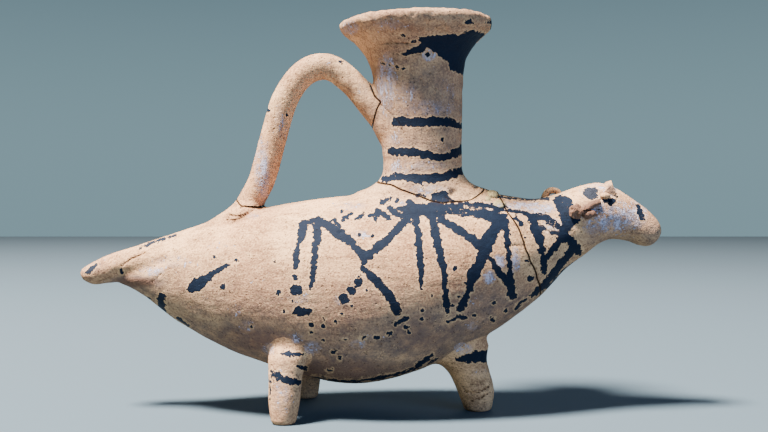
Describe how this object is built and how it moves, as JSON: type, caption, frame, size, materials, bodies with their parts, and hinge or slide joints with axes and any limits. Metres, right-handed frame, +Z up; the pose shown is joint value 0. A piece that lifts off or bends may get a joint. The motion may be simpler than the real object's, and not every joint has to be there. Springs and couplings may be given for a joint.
{
  "type": "animal-shaped pouring vessel",
  "caption": "Fired-clay pouring vessel: hollow bird-shaped body with a ram's head, stub feet, tall flared neck and arched coil handle.",
  "frame": {"origin": "on the ground under the middle of the outline box", "axes": "+X towards the head, +Z up, -Y to the animal's right"},
  "size_m": [0.24, 0.0756, 0.162],
  "materials": {
    "clay": "matt fired clay, buff to brown, with flaked blue-black slip",
    "crusted_clay": "matt clay under a pale crust",
    "broken_clay": "rough broken clay",
    "filler": "matt repair filler"
  },
  "bodies": {
    "root": {"body_shell": "clay", "breast_shell": "clay", "tail": "clay", "neck": "clay", "lip_roll": "clay", "handle": "clay", "handle_stub": "clay", "handle_root": "broken_clay", "head": "crusted_clay", "horn_right": "broken_clay", "horn_left": "crusted_clay", "eye_right": "crusted_clay", "eye_left": "crusted_clay", "forelock": "crusted_clay", "front_leg": "clay", "rear_leg_right": "clay", "rear_leg_left": "clay", "fill_ridge": "filler", "fill_wedge": "filler", "fill_chip": "filler"}
  },
  "joints": []
}
